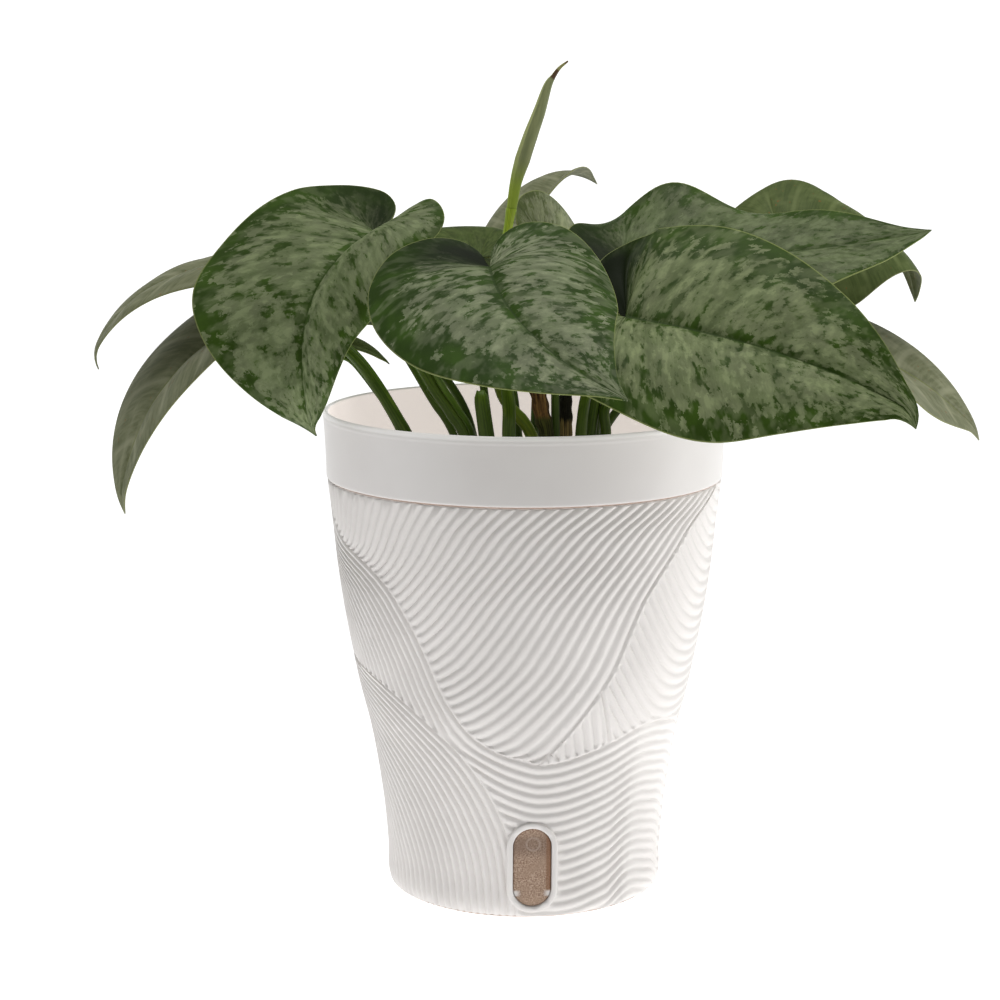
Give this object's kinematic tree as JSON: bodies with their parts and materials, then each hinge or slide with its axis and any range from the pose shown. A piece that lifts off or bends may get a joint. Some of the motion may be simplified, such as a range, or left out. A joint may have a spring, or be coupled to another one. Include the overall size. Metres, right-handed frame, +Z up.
{
  "type": "potted plant",
  "caption": "Vine with heart-shaped silver-marked leaves on curved stalks, in a ribbed white two-part self-watering pot with a water level window.",
  "frame": {"origin": "centre of the flat boss under the outer pot, on the plane that the pot stands on", "axes": "+Z up along the pot's axis; -Y is the front, where the water level window is; +X is to the viewer's right"},
  "size_m": [0.4161, 0.3711, 0.3663],
  "materials": {
    "white_plastic": "satin",
    "liner_plastic": "gloss",
    "clear_plastic": "gloss",
    "soil": "matte",
    "leaf": "satin",
    "stalk": "satin",
    "cut_stem": "matte",
    "new_leaf": "satin"
  },
  "bodies": {
    "root": {"outer_pot": "white_plastic", "inner_liner": "liner_plastic", "level_window": "clear_plastic", "soil": "soil", "rolled_leaf": "new_leaf", "leaf_front_left": "leaf", "leaf_front_middle": "leaf", "leaf_front_right": "leaf", "leaf_right": "leaf", "leaf_far_right": "leaf", "leaf_low_right": "leaf", "leaf_top": "leaf", "leaf_behind_middle": "leaf", "leaf_behind_left": "leaf", "leaf_far_left": "leaf", "leaf_low_left": "leaf", "leaf_small": "leaf", "leaf_back_left": "leaf", "leaf_back_middle": "leaf", "leaf_back_right": "leaf", "stem_low_left": "stalk", "stem_far_left": "stalk", "stem_front_left": "stalk", "stem_front_middle": "stalk", "stem_rolled": "stalk", "stem_behind_middle": "stalk", "stem_front_right": "stalk", "stem_right": "stalk", "stem_low_right": "stalk", "stem_far_right": "stalk", "stem_top": "stalk", "stem_behind_left": "stalk", "stem_small": "stalk", "stem_back_left": "stalk", "stem_back_middle": "stalk", "stem_back_right": "stalk", "cut_stem_left": "stalk", "cut_stem_middle": "cut_stem", "cut_stem_dark": "cut_stem"}
  },
  "joints": []
}
